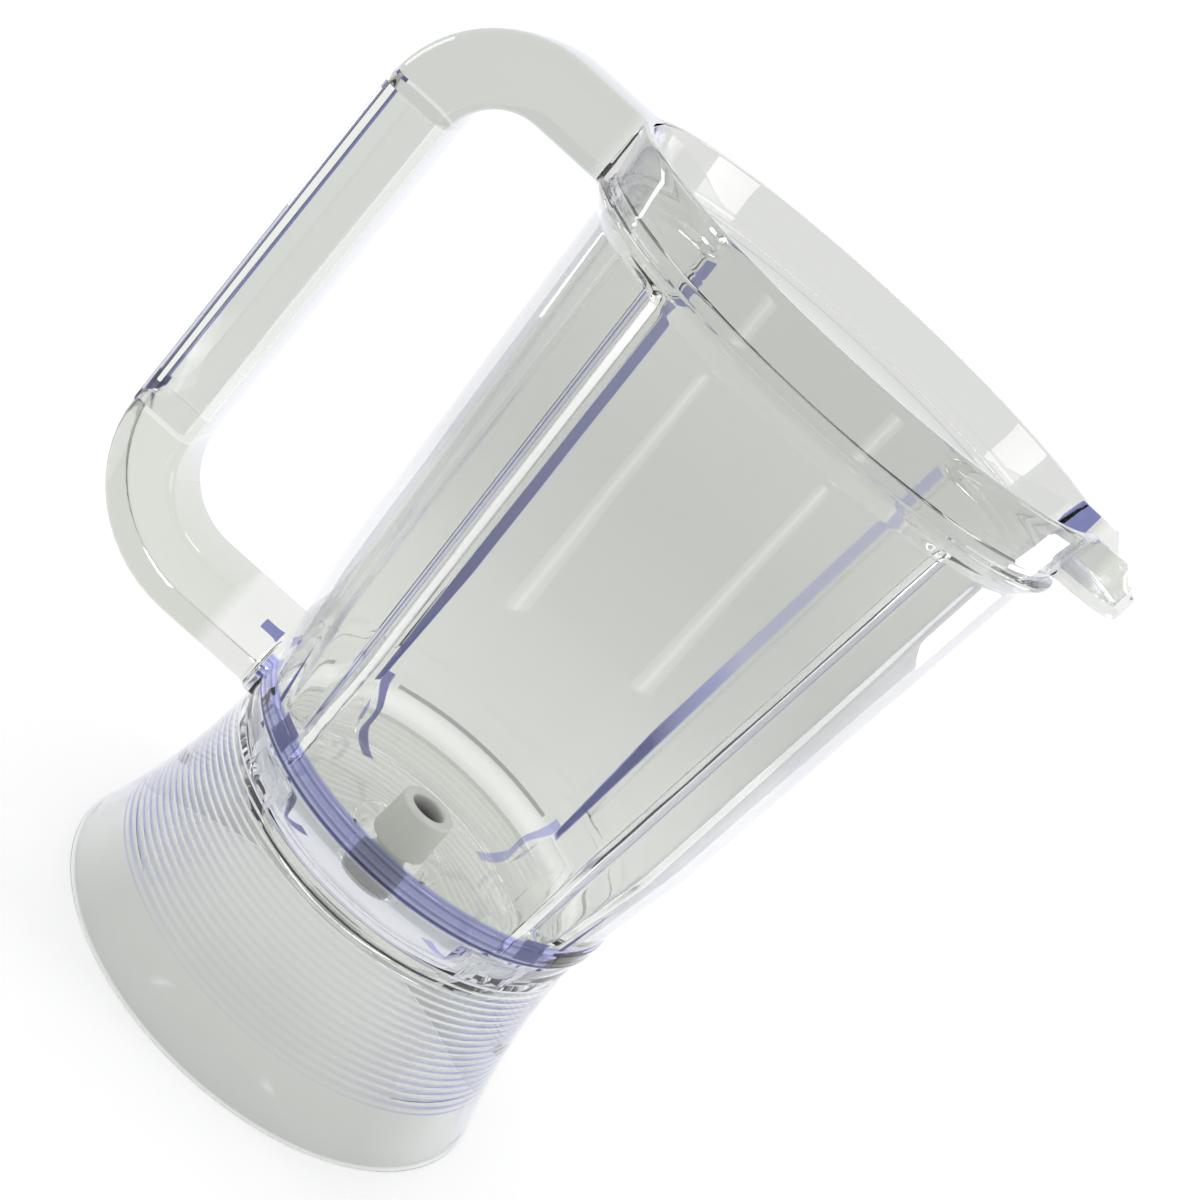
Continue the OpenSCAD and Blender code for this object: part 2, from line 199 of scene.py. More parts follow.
def collar_rows():
    """Rows from the seat's outer edge up the inside of the collar, over the rim, and down to the ledge."""
    turn_x = np.cos(TURN)
    out_plain = lambda z: RIM_RADIUS - COLLAR_LEAN * (RIM_HEIGHT - z)
    in_plain = lambda z: RIM_INNER - COLLAR_LEAN * (RIM_HEIGHT - z)
    channel, spout = spout_radius(CHANNEL_HALF), spout_radius(SPOUT_HALF)
    rows = []

    def inner(z):
        return soft_max(in_plain(z), channel, 0.5)

    def outer(z):
        return soft_max(out_plain(z), spout, 2.4)

    # the collar's foot, then the channel's floor
    for z in (214.6, 215.4, 216.0):
        rows.append((in_plain(z) + 0 * TURN, z + 0 * TURN))
    for t in (0, 0.06, 0.25, 0.5, 0.75, 0.94):
        rows.append((in_plain(CHANNEL) * (1 - t) + inner(CHANNEL) * t, CHANNEL - 0.3 * (1 - t) + 0 * TURN))
    edge = 0.6
    top_in = rim_height((inner(RIM_HEIGHT) + edge) * turn_x)
    top_out = rim_height((outer(RIM_HEIGHT) - edge) * turn_x)
    for t in (0.06, 0.2, 0.5, 0.8):
        z = CHANNEL + (top_in - edge - CHANNEL) * t
        rows.append((inner(z), z))
    a = np.radians([0, 30, 60, 90])
    for s in a:
        rows.append((inner(top_in) + edge * (1 - math.cos(s)), top_in - edge * (1 - math.sin(s))))
    for t in (0.25, 0.5, 0.75):
        r = (inner(top_in) + edge) * (1 - t) + (outer(top_out) - edge) * t
        rows.append((r, rim_height(r * turn_x)))
    for s in a[::-1]:
        rows.append((outer(top_out) - edge * (1 - math.cos(s)), top_out - edge * (1 - math.sin(s))))
    for t in (0.8, 0.5, 0.2, 0.06):
        z = SPOUT_UNDER + (top_out - edge - SPOUT_UNDER) * t
        rows.append((outer(z), z))
    for t in (0.98, 0.9, 0.7, 0.4, 0.15, 0):
        r = out_plain(SPOUT_UNDER) * (1 - t) + outer(SPOUT_UNDER) * t
        rows.append((r, SPOUT_UNDER - 0.3 * (1 - t) + 0 * TURN))
    return np.array([r for r, _ in rows]), np.array([z for _, z in rows])


def skirt_inside(z):
    """Radius of the skirt's inner face: an arc, with rounded rings above the plain band."""
    plain = FLARE_X - np.sqrt((FLARE + SKIRT_WALL) ** 2 - (NECK - z) ** 2)
    return plain - RING * 0.5 * (1 - np.cos(2 * np.pi * (z - BAND) / PITCH)) * (z > BAND)


def skirt_outside(z):
    """Radius of the skirt's outer face: one arc, upright at the neck."""
    return FLARE_X - np.sqrt(FLARE**2 - (NECK - z) ** 2)


def body_rows():
    """All rows of the body as one closed line carried round the axis: collar, outside, underside, inside."""
    stretches = [collar_rows()]
    # ledge and the slope under it
    ledge = softened([(67.95, 213.6), (COLLAR_FOOT, LEDGE_TOP), (LEDGE_RADIUS, LEDGE_TOP),
                      (LEDGE_RADIUS, LEDGE_LOW), (67.2, 207.05)], 0.5)
    stretches.append(level(ledge[:-1]))
    down = np.concatenate([[206.6, 206.2, 206, 205.9, 205.7, 205.4, 205.1, 204.8, 204], np.linspace(198, 108, 9),
                           [104, 100, 96], np.linspace(90, 78, 4),
                           [75.4, 74.4, 74.1, 73.8, 73.5, 73.2, 73.05, 72.9, 72.2]])
    stretches.append(outer_wall(down))
    bead = softened([(54.25, 71.5), (54.2, 71), (54.8, 69.8), (54.8, 65.2), (NECK_RADIUS, NECK),
                     (skirt_outside(61.5), 61.5)], 0.7)
    stretches.append(level(bead[1:]))
    down = np.linspace(58, 2, 15)
    stretches.append(level(np.stack([skirt_outside(down), down], 1)))
    foot_in = float(skirt_inside(np.array(0.0)))
    foot = softened([(skirt_outside(1.2), 1.2), (FOOT, 0), (foot_in, 0), (skirt_inside(np.array(1.2)), 1.2)], 0.7, 5)
    stretches.append(level(foot))
    up = np.concatenate([np.linspace(3, 15, 6), np.arange(BAND, 53.0, PITCH / 4), [53.3]])
    stretches.append(level(np.stack([skirt_inside(up), up], 1)))
    # underside of the bowl and the hollows of the heels, outside in
    bowl = arc(BOWL_X, BOWL_Z, BOWL + 3, -29.2, -59.4, 9)
    plain = spaced(np.concatenate([[(51.25, CREVICE_Z)], bowl, [(GUARD_OUT, 46)], [(GUARD_OUT, 44.2)]]), 22)
    hollow = spaced(np.concatenate([[(51.2, CREVICE_Z), (51, 61.2)], arc(HEEL_X, HEEL_Z, HEEL - WALL, 133, 180, 5),
                                    [(45.8, 46.4), (45.1, 45.2), (GUARD_OUT, 44.2)]]), 22)
    stretches.append(heel_stretch(plain, hollow, 1, 5.9, 7.5, 51.25 + 0 * OFF))
    under = softened([(GUARD_OUT, 44.2), (GUARD_OUT, GUARD_LOW), (GUARD_IN, GUARD_LOW), (GUARD_IN, UNDER), (30, UNDER),
                      (SLEEVE, UNDER), (SLEEVE, SLEEVE_LOW), (HOLE, SLEEVE_LOW), (HOLE, BOSS),
                      (BOSS_RADIUS, BOSS), (BOSS_RADIUS, FLOOR), (24, FLOOR), (34, FLOOR)], 0.5)
    stretches.append(level(under[1:-1]))
    # floor, bowl and heels, inside out
    rib = inner_wall([NECK])[0][0]
    bowl = arc(BOWL_X, BOWL_Z, BOWL, 0, -90, 22)
    plain = spaced(np.concatenate([[(50.68, NECK)], bowl, [(34, FLOOR)]]), 34)
    heel = np.concatenate([[(47.98, NECK), (47.98, 62.6), (47.2, 61.6)], arc(HEEL_X, HEEL_Z, HEEL, 133, 180, 7),
                           [(43, 51.2), (42.7, 50.2), (41.8, 49.3)], arc(BOWL_X, BOWL_Z, BOWL, -74, -90, 4),
                           [(34, FLOOR)]])
    r, z = heel_stretch(plain, spaced(heel, 34), 10, 9.3, 11.2, rib)
    stretches.append((r[::-1], z[::-1]))
    up = np.concatenate([[65, 67, 70, 75, 82, 90, 96, 100, 104], np.linspace(112, 198, 8),
                         [203, 205.6, 206.6, 207.1, 207.6, 208, 208.3, 208.55, 208.7, 208.79, 208.85, 209.2, 211]])
    stretches.append(inner_wall(up))
    seat = softened([(63.2, 212), (63.2, 213.4), (63.8, SEAT), (64.77, SEAT), (SEAT_RADIUS + 0.1, 214.6)], 0.25, 3)
    stretches.append(level(seat[:-1]))
    return np.concatenate([r for r, _ in stretches]), np.concatenate([z for _, z in stretches])


def volume(points, faces):
    """Six times the enclosed volume's sign: the sum of corner products over a fan of each face."""
    p = points[faces]
    fan = np.einsum("ij,ij->i", p[:, 0], np.cross(p[:, 1], p[:, 2]))
    return (fan + np.einsum("ij,ij->i", p[:, 0], np.cross(p[:, 2], p[:, 3]))).sum()


def closed_grid(name, points, wrap_rows=True):
    """A mesh from a grid of points whose columns run round and whose rows run round too, or end in fans."""
    n, m = points.shape[:2]
    flat = points.reshape(-1, 3) * MM
    rows = n if wrap_rows else n - 1
    i, j = np.meshgrid(np.arange(rows), np.arange(m), indexing="ij")
    i, j = i.ravel(), j.ravel()
    quads = np.stack([i * m + j, i * m + (j + 1) % m, (i + 1) % n * m + (j + 1) % m, (i + 1) % n * m + j], 1)
    fans = np.zeros((0, 3), int)
    if not wrap_rows:
        ends = np.stack([flat[:m].mean(0), flat[-m:].mean(0)])
        k, low, high = np.arange(m), len(flat), len(flat) + 1
        last = (n - 1) * m
        fans = np.concatenate([np.stack([np.full(m, low), (k + 1) % m, k], 1),
                               np.stack([np.full(m, high), last + k, last + (k + 1) % m], 1)])
        flat = np.concatenate([flat, ends])
    if volume(flat, quads) < 0:
        quads, fans = quads[:, ::-1], fans[:, ::-1]
    data = bpy.data.meshes.new(name)
    data.from_pydata(flat.tolist(), [], quads.tolist() + fans.tolist())
    data.validate()
    made = bpy.data.objects.new(name, data)
    bpy.context.scene.collection.objects.link(made)
    return made


def turned(name, r, z, angles):
    """A closed surface of rows of radii and heights carried round the axis."""
    return closed_grid(name, np.stack([r * np.cos(angles), r * np.sin(angles), z], -1))


HANDLE_X, HANDLE_THICK, HANDLE_WIDE, HANDLE_EDGE = 120.6, 18, 24, 4


def handle():
    """A rounded section carried along the handle's line: two arms, two quarter turns and the grip.

    The roots spread by a fillet's quarter circle and end on a round inside the jar's wall.
    """
    half = HANDLE_THICK / 2
    top, low = RIM_HEIGHT - half, 58 + half
    mid_x = HANDLE_X - half
    upper, lower = 33 - half, 38 - half
    root = np.array([0, 0.6, 1.2, 2, 3, 4.2])
    a = np.radians(np.linspace(0, 90, 15))
    line = np.concatenate([
        np.stack([-66.5 - root * 1.2, np.full(6, top)], 1),
        np.stack([-(mid_x - upper) - upper * np.sin(a), top - upper + upper * np.cos(a)], 1),
        np.stack([np.full(8, -mid_x), np.linspace(top - upper - 6, low + lower + 6, 8)], 1),
        np.stack([-(mid_x - lower) - lower * np.cos(a), low + lower - lower * np.sin(a)], 1),
        np.stack([-53.2 - root[::-1] * 1.2, np.full(6, low)], 1)])
    way = np.gradient(line, axis=0)
    way /= np.linalg.norm(way, axis=1, keepdims=True)
    out = np.stack([-way[:, 1], way[:, 0]], 1)
    corner = np.radians(np.linspace(0, 90, 7))
    flat_x, flat_y = half - HANDLE_EDGE, HANDLE_WIDE / 2 - HANDLE_EDGE
    quarter = np.stack([flat_x + HANDLE_EDGE * np.cos(corner), flat_y + HANDLE_EDGE * np.sin(corner)], 1)
    section = np.concatenate([quarter, quarter[::-1] * (-1, 1), -quarter, quarter[::-1] * (1, -1)])
    fillet = 3 - np.sqrt(np.maximum(9 - (3 - np.clip(root * 1.2 - 1.6, 0, 3)) ** 2, 0))
    spread = np.ones(len(line))
    spread[:6] += fillet / (HANDLE_WIDE / 2)
    spread[-6:] += fillet[::-1] / (HANDLE_WIDE / 2)
    s = section[None]
    x = line[:, :1] + out[:, :1] * s[..., 0]
    z = line[:, 1:] + out[:, 1:] * s[..., 0]
    y = s[..., 1] * spread[:, None]
    for row in (0, -1):
        mid = np.where(z[row] > 200, np.maximum(66.3 + COLLAR_LEAN * (z[row] - LEDGE_TOP), 65.6),
                       51.8 + 0.142 * np.maximum(z[row] - 62, 0))
        x[row] = -np.sqrt(mid**2 - y[row] ** 2)
    return closed_grid("handle_form", np.stack([x, y, z], -1), wrap_rows=False)


def pocket():
    """The open pocket along the grip's outer face: a straight block with rounded inner edges."""
    r = 1.6
    corner = np.radians(np.linspace(0, 90, 5))
    inner_x, half_y = -HANDLE_X + 15, 9
    one = np.stack([inner_x - r + r * np.cos(corner), half_y - r + r * np.sin(corner)], 1)
    plan = np.concatenate([one, [(-HANDLE_X - 2, half_y)], [(-HANDLE_X - 2, -half_y)], one[::-1] * (1, -1)])
    z = np.array([96, 96.6, 193.4, 194])
    points = np.stack([np.repeat(plan[None, :, 0], 4, 0), np.repeat(plan[None, :, 1], 4, 0),
                       np.repeat(z[:, None], len(plan), 1)], -1)
    return closed_grid("pocket_form", points, wrap_rows=False)


def joined(base, other, operation):
    """The base with another closed form added or taken away."""
    step = base.modifiers.new("form", "BOOLEAN")
    step.operation, step.object, step.solver = operation, other, "MANIFOLD"
    seen = bpy.context.evaluated_depsgraph_get()
    data = bpy.data.meshes.new_from_object(base.evaluated_get(seen))
    base.modifiers.clear()
    base.data = data
    bpy.data.objects.remove(other)


def smoothed(made, sharp):
    """Smooth faces, but for edges that turn by more than sharp degrees."""
    made.data.shade_smooth()
    made.data.set_sharp_from_angle(angle=math.radians(sharp))


def camera():
    """A camera at the photograph's place: it looks down a little and is rolled, so the jar leans."""
    place = Vector((-0.02368, -0.48403, 0.28635))
    pitch, roll, turn = math.radians(17.55), math.radians(42.71), math.radians(-2.33)
    spin = Matrix.Rotation(turn, 3, "Z")
    right = spin @ Vector((1, 0, 0))
    ahead = spin @ Vector((0, math.cos(pitch), -math.sin(pitch)))
    up = spin @ Vector((0, math.sin(pitch), math.cos(pitch)))
    across = math.cos(roll) * right + math.sin(roll) * up
    above = -math.sin(roll) * right + math.cos(roll) * up
    data = bpy.data.cameras.new("camera")
    data.lens, data.sensor_width = 62.914, 36
    data.clip_start, data.clip_end = 0.01, 100
    made = bpy.data.objects.new("camera", data)
    turned_to = Matrix((across, above, -ahead)).transposed().to_4x4()
    made.matrix_world = Matrix.Translation(place) @ turned_to
    bpy.context.scene.collection.objects.link(made)
    bpy.context.scene.camera = made


def new_material(name):
    """An empty material and its node tree with an output node."""
    made = bpy.data.materials.new(name)
    made.use_nodes = True
    tree = made.node_tree
    tree.nodes.clear()
    return made, tree, tree.nodes.new("ShaderNodeOutputMaterial")


def noise(tree, scale, detail=2.0):
    """Noise in object coordinates."""
    place = tree.nodes.new("ShaderNodeTexCoord")
    made = tree.nodes.new("ShaderNodeTexNoise")
    made.inputs["Scale"].default_value = scale
    made.inputs["Detail"].default_value = detail
    tree.links.new(place.outputs["Object"], made.inputs["Vector"])
    return made.outputs["Fac"]


def spread(tree, value, low, high, first=0.3, last=0.7):
    """A value carried from the range first to last to the range low to high."""
    made = tree.nodes.new("ShaderNodeMapRange")
    made.inputs["From Min"].default_value, made.inputs["From Max"].default_value = first, last
    made.inputs["To Min"].default_value, made.inputs["To Max"].default_value = low, high
    tree.links.new(value, made.inputs["Value"])
    return made.outputs["Result"]


def bump(tree, height, distance):
    """A normal bent by a height in metres."""
    made = tree.nodes.new("ShaderNodeBump")
    made.inputs["Distance"].default_value = distance
    tree.links.new(height, made.inputs["Height"])
    return made.outputs["Normal"]


def worked(tree, operation, first, second=None, clamp=False):
    """One step of sums; each side is a socket or a number."""
    made = tree.nodes.new("ShaderNodeMath")
    made.operation, made.use_clamp = operation, clamp
    for socket, value in zip(made.inputs, (first, second)):
        if isinstance(value, bpy.types.NodeSocket):
            tree.links.new(value, socket)
        elif value is not None:
            socket.default_value = value
    return made.outputs[0]


def within(tree, value, low, high, soft):
    """1 between low and high, falling to 0 over the soft width outside them."""
    up = spread(tree, value, 0, 1, low - soft, low)
    down = spread(tree, value, 1, 0, high, high + soft)
    return worked(tree, "MULTIPLY", up, down)


def between(tree, value, low, high):
    """1 between low and high, else 0."""
    made = worked(tree, "COMPARE", value, (low + high) / 2)
    made.node.inputs[2].default_value = (high - low) / 2
    return made


def many(tree, operation, *values):
    """The same step over several values in turn."""
    total = values[0]
    for value in values[1:]:
        total = worked(tree, operation, total, value)
    return total


def from_axis(tree, x, y):
    """Distance from the jar's axis: the root of x^2 + y^2."""
    squares = [worked(tree, "MULTIPLY", side, side) for side in (x, y)]
    return worked(tree, "SQRT", worked(tree, "ADD", *squares))


def blended(tree, share, first, second):
    """A colour between two, each a socket or a colour."""
    made = tree.nodes.new("ShaderNodeMix")
    made.data_type = "RGBA"
    tree.links.new(share, made.inputs["Factor"])
    for name, value in (("A", first), ("B", second)):
        socket = [i for i in made.inputs if i.name == name and i.type == "RGBA"][0]
        if isinstance(value, bpy.types.NodeSocket):
            tree.links.new(value, socket)
        else:
            socket.default_value = (*value, 1)
    return [o for o in made.outputs if o.type == "RGBA"][0]


# tints of the skin, one for each stretch of the body and lighter or darker from stretch to stretch, and the painted
# edge colours: blue-violet painted light and near-black painted shade where light shows at edges, and a grey painted
# shade line
LOW_TINT, MID_TINT, HIGH_TINT = (0.785, 0.795, 0.77), (0.69, 0.7, 0.68), (0.725, 0.735, 0.71)
COLLAR_TINT, LIP_TINT, FLOOR_TINT = (0.655, 0.665, 0.645), (0.8, 0.81, 0.78), (0.97, 0.975, 0.96)
SKIRT_HIGH, SKIRT_LOW, SKIRT_ASLANT = (0.685, 0.7, 0.67), (0.6, 0.615, 0.59), (0.95, 0.96, 0.98)
HANDLE_HIGH, HANDLE_LOW = (0.57, 0.585, 0.55), (0.64, 0.66, 0.61)
POCKET_TINT, POCKET_END_TINT = (0.77, 0.785, 0.76), (1, 1, 1)
PAINTED_EDGE_LIGHT, PAINTED_EDGE_SHADE, PAINTED_SHADE_LINE = (0.18, 0.2, 0.7), (0.006, 0.007, 0.075), (0.2, 0.2, 0.21)
DIAGONAL = math.sqrt(0.5)
# heights in metres and strengths of the painted lines of light and shade across the neck's bead
PAINTED_NECK_LINES = ((0.064, 0), (0.0646, 0.15), (0.0651, 0.9), (0.0658, 1), (0.0663, 0.3), (0.0668, 0.48),
              (0.0674, 0.85), (0.0679, 0.42), (0.0686, 0.5), (0.0692, 0.48), (0.0698, 0.85), (0.0703, 0.4),
              (0.071, 0.6), (0.0717, 0.35), (0.0722, 0))


def clear_plastic():
    """Clear moulded plastic: a faint grey tint in the skin, and blue-violet painted light and near-black painted shade
    in its colour where light runs along a wall.

    The painted blue and dark lines show at edges seen aslant, on the flutes' flanks, in the neck's bead and at cut
    ends.
    """
    made, tree, out = new_material("clear_plastic")
    skin = tree.nodes.new("ShaderNodeBsdfPrincipled")
    skin.distribution = "GGX"
    weight = tree.nodes.new("ShaderNodeLayerWeight")
    weight.inputs["Blend"].default_value = 0.5
    facing = weight.outputs["Facing"]
    split = tree.nodes.new("ShaderNodeSeparateXYZ")
    tree.links.new(tree.nodes.new("ShaderNodeTexCoord").outputs["Object"], split.inputs[0])
    x, y, z = split.outputs
    wide, deep = worked(tree, "ABSOLUTE", x), worked(tree, "ABSOLUTE", y)
    aside = worked(tree, "MULTIPLY", worked(tree, "SUBTRACT", deep, wide), DIAGONAL)
    off = worked(tree, "ABSOLUTE", aside)
    radius = from_axis(tree, x, y)
    front = worked(tree, "SUBTRACT", 1, tree.nodes.new("ShaderNodeNewGeometry").outputs["Backfacing"])

    # which skin of a flute: distance past its outer face, along its own middle plane
    along = worked(tree, "MULTIPLY", worked(tree, "ADD", wide, deep), DIAGONAL)
    apex = spread(tree, z, FLUTE_X * MM, (FLUTE_X + 140 * FLUTE_LEAN) * MM, NECK * MM, (NECK + 140) * MM)
    past = many(tree, "SUBTRACT", along, apex, worked(tree, "MULTIPLY", off, 1 / math.tan(FLUTE_SIDE)))
    inside = spread(tree, past, 1, 0, -0.0019, -0.0017)
    outside = worked(tree, "SUBTRACT", 1, inside)
    fluted = between(tree, z, 0.063, 0.205)
    slant = spread(tree, facing, 0, 1, 0.42, 0.56)

    # painted edge light and shade where the skin is seen aslant
    painted_graze = spread(tree, facing, 0, 1, 0.6, 1.0)
    painted_graze = many(tree, "MULTIPLY", painted_graze, painted_graze, 0.6)
    handle_side = worked(tree, "MULTIPLY", worked(tree, "LESS_THAN", x, 0), spread(tree, z, 1, 0.85, 0.1, 0.2))
    strong = worked(tree, "MAXIMUM", spread(tree, z, 1, 0.33, 0.1, 0.135), handle_side)
    # painted lines of light and shade: a band on each flute's flank, a line on its nose, hooks on the heels and marks
    # at the flutes' roots
    painted_flank_band = many(tree, "MULTIPLY", fluted, inside, slant, within(tree, off, 0.0016, 0.0105, 0.0006), strong)
    nose = many(tree, "MULTIPLY", fluted, outside, slant, within(tree, off, 0.0011, 0.0019, 0.0003), 0.85)
    heel_top = worked(tree, "MULTIPLY", between(tree, z, 0.061, 0.0657), between(tree, radius, 0.0405, 0.0515))
    heel_face = worked(tree, "MAXIMUM", between(tree, radius, 0.0355, 0.0486), heel_top)
    heel = many(tree, "MULTIPLY", within(tree, aside, 0.0054, 0.0082, 0.0006), between(tree, z, 0.0475, 0.0657),
                heel_face, spread(tree, x, 0.9, 0.45, -0.01, 0.01))
    root = many(tree, "MULTIPLY", between(tree, z, 0.0665, 0.0728), within(tree, off, 0, 0.0036, 0.001),
                between(tree, radius, 0.048, 0.0565), outside, 0.9)
    # painted lines of light and shade across the neck's bead, by height
    line = tree.nodes.new("ShaderNodeValToRGB")
    marks = line.color_ramp.elements
    first, last = PAINTED_NECK_LINES[0][0], PAINTED_NECK_LINES[-1][0]
    marks[0].color = marks[1].color = (0, 0, 0, 1)
    for at, share in PAINTED_NECK_LINES[1:-1]:
        marks.new((at - first) / (last - first)).color = (share, share, share, 1)
    tree.links.new(spread(tree, z, 0, 1, first, last), line.inputs["Fac"])
    neck = worked(tree, "MULTIPLY", line.outputs["Color"], between(tree, radius, 0.0525, 0.0565))
    # painted light: a faint haze below the neck's bead
    painted_haze_light = many(tree, "MULTIPLY", within(tree, z, 0.0545, 0.0635, 0.001), between(tree, radius, 0.0525, 0.056), 0.16)
    # painted lines of light and shade at the spout's sides, the pocket's ends, the handle's lower joint and the
    # pocket's lips
    block = many(tree, "MULTIPLY", between(tree, deep, 0.0152, 0.0174), between(tree, x, 0.0642, 0.0708),
                 between(tree, z, 0.2168, 0.2284), 0.84)
    ends = worked(tree, "ADD", between(tree, z, 0.0955, 0.0985), between(tree, z, 0.1922, 0.1945))
    ends = worked(tree, "MULTIPLY", ends, between(tree, x, -0.1215, -0.1195))
    painted_joint_line = many(tree, "MULTIPLY", between(tree, x, -0.0612, -0.0556), between(tree, z, 0.0735, 0.0775),
                 worked(tree, "LESS_THAN", y, -0.0098), 0.85)
    painted_pocket_lips = many(tree, "MULTIPLY", between(tree, x, -0.1215, -0.1198), within(tree, deep, 0.0084, 0.0098, 0.0002),
                between(tree, z, 0.0955, 0.1945), 0.7)
    # painted lines of light and shade along the skirt's rings, stronger where seen aslant
    turns = worked(tree, "MULTIPLY", worked(tree, "SUBTRACT", z, BAND * MM), 2 * math.pi / (PITCH * MM))
    wave = spread(tree, worked(tree, "COSINE", turns), 0, 1, -0.5, 0.8)
    drop = worked(tree, "SUBTRACT", NECK * MM, z)
    flare = worked(tree, "SQRT", worked(tree, "SUBTRACT", (FLARE * MM) ** 2, worked(tree, "MULTIPLY", drop, drop)))
    shell = worked(tree, "GREATER_THAN", worked(tree, "ADD", radius, flare), (FLARE_X - 1.3) * MM)
    rings = many(tree, "MULTIPLY", between(tree, z, BAND * MM, 0.053), shell, wave,
                 spread(tree, facing, 0.06, 0.46, 0.15, 0.55))
    # all the painted marks of light and shade; most of them count only on faces seen from outside
    painted_marks = many(tree, "MAXIMUM", painted_flank_band, nose, heel, root, neck, painted_haze_light, block, painted_joint_line, rings)
    painted_marks = worked(tree, "MULTIPLY", front, painted_marks)
    edge = many(tree, "MAXIMUM", painted_graze, painted_marks, ends, painted_pocket_lips)

    tint = blended(tree, spread(tree, z, 0, 1, 0.1, 0.145), LOW_TINT, MID_TINT)
    tint = blended(tree, spread(tree, z, 0, 1, 0.155, 0.2), tint, HIGH_TINT)
    tint = blended(tree, spread(tree, z, 0, 1, 0.209, 0.2115), tint, COLLAR_TINT)
    low = worked(tree, "MULTIPLY", worked(tree, "LESS_THAN", radius, 0.0566), within(tree, z, 0.03, 0.06, 0.002))
    tint = blended(tree, low, tint, FLOOR_TINT)
    # the skirt is darker towards its foot, and painted light makes it paler where it is seen aslant
    skirt = worked(tree, "MULTIPLY", spread(tree, z, 1, 0, 0.053, 0.056), worked(tree, "GREATER_THAN", radius, 0.0505))
    shade = blended(tree, spread(tree, z, 0, 1, 0.022, 0.045), SKIRT_LOW, SKIRT_HIGH)
    shade = blended(tree, spread(tree, facing, 0, 0.6, 0.3, 0.6), shade, SKIRT_ASLANT)
    tint = blended(tree, skirt, tint, shade)
    grip = blended(tree, spread(tree, z, 0, 1, 0.07, 0.19), HANDLE_LOW, HANDLE_HIGH)
    grip = blended(tree, between(tree, z, 0.0955, 0.1945), grip, POCKET_TINT)
    shut = worked(tree, "ADD", between(tree, z, 0.09595, 0.09605), between(tree, z, 0.19395, 0.19405))
    grip = blended(tree, shut, grip, POCKET_END_TINT)
    tint = blended(tree, spread(tree, x, 1, 0, -0.0725, -0.0705), tint, grip)
    tint = blended(tree, spread(tree, x, 0, 1, 0.0715, 0.074), tint, LIP_TINT)
    # painted shade: a grey line at the foot of the far wall
    painted_crease_shade = many(tree, "MULTIPLY", within(tree, z, 0.0626, 0.0636, 0.0003), between(tree, radius, 0.0493, 0.0515),
                  front, worked(tree, "GREATER_THAN", off, 0.0115))  # line at the foot of the far wall
    tint = blended(tree, painted_crease_shade, tint, PAINTED_SHADE_LINE)
    # painted blue-violet light where the marks are weak, painted near-black shade where they are strongest
    tint = blended(tree, worked(tree, "MULTIPLY", edge, 2, True), tint, PAINTED_EDGE_LIGHT)
    painted_shade_share = worked(tree, "SUBTRACT", worked(tree, "MULTIPLY", edge, 2), 1, True)
    tree.links.new(blended(tree, painted_shade_share, tint, PAINTED_EDGE_SHADE), skin.inputs["Base Color"])
    skin.inputs["Transmission Weight"].default_value = 1
    skin.inputs["IOR"].default_value = 1.15
    gloss = worked(tree, "SUBTRACT", front, worked(tree, "MULTIPLY", painted_shade_share, 0.8), True)
    tree.links.new(gloss, skin.inputs["Coat Weight"])
    skin.inputs["Coat Roughness"].default_value = 0.025
    grain = noise(tree, 60, 0)
    tree.links.new(spread(tree, grain, 0, 0.022), skin.inputs["Roughness"])
    ripple = bump(tree, grain, 0.00005)
    tree.links.new(ripple, skin.inputs["Normal"])
    tree.links.new(ripple, skin.inputs["Coat Normal"])
    tree.links.new(skin.outputs["BSDF"], out.inputs["Surface"])
    return made


def bush_plastic():
    """Pale grey satin plastic with a fine moulded grain, painted light on its top face and painted shade in its bore.
    """
    made, tree, out = new_material("bush_plastic")
    skin = tree.nodes.new("ShaderNodeBsdfPrincipled")
    ramp = tree.nodes.new("ShaderNodeValToRGB")
    ramp.color_ramp.elements[0].color = (0.78, 0.78, 0.75, 1)
    ramp.color_ramp.elements[1].color = (0.86, 0.86, 0.83, 1)
    tree.links.new(noise(tree, 180, 4), ramp.inputs["Fac"])
    split = tree.nodes.new("ShaderNodeSeparateXYZ")
    tree.links.new(tree.nodes.new("ShaderNodeTexCoord").outputs["Object"], split.inputs[0])
    x, y, z = split.outputs
    radius = from_axis(tree, x, y)
    # painted shade: the bore is coloured near black below its mouth
    painted_bore_shade = worked(tree, "MULTIPLY", spread(tree, radius, 1, 0, 0.0051, 0.0053), spread(tree, z, 1, 0, 0.0585, 0.0623))
    # painted light: the top face is coloured near white
    rim = blended(tree, spread(tree, z, 0, 1, 0.0615, 0.0621), ramp.outputs["Color"], (0.97, 0.97, 0.94))
    shade = blended(tree, painted_bore_shade, rim, (0.03, 0.03, 0.024))
    tree.links.new(shade, skin.inputs["Base Color"])
    tree.links.new(spread(tree, noise(tree, 400), 0.34, 0.46), skin.inputs["Roughness"])
    tree.links.new(bump(tree, noise(tree, 2500, 3), 0.00002), skin.inputs["Normal"])
    tree.links.new(skin.outputs["BSDF"], out.inputs["Surface"])
    return made


def seen_rays(tree):
    """1 for rays from the camera, a gloss or a clear piece, else 0."""
    path = tree.nodes.new("ShaderNodeLightPath")
    total = path.outputs["Is Camera Ray"]
    for name in ("Is Glossy Ray", "Is Transmission Ray"):
        add = tree.nodes.new("ShaderNodeMath")
        add.operation, add.use_clamp = "ADD", True
        tree.links.new(total, add.inputs[0])
        tree.links.new(path.outputs[name], add.inputs[1])
        total = add.outputs[0]
    return total


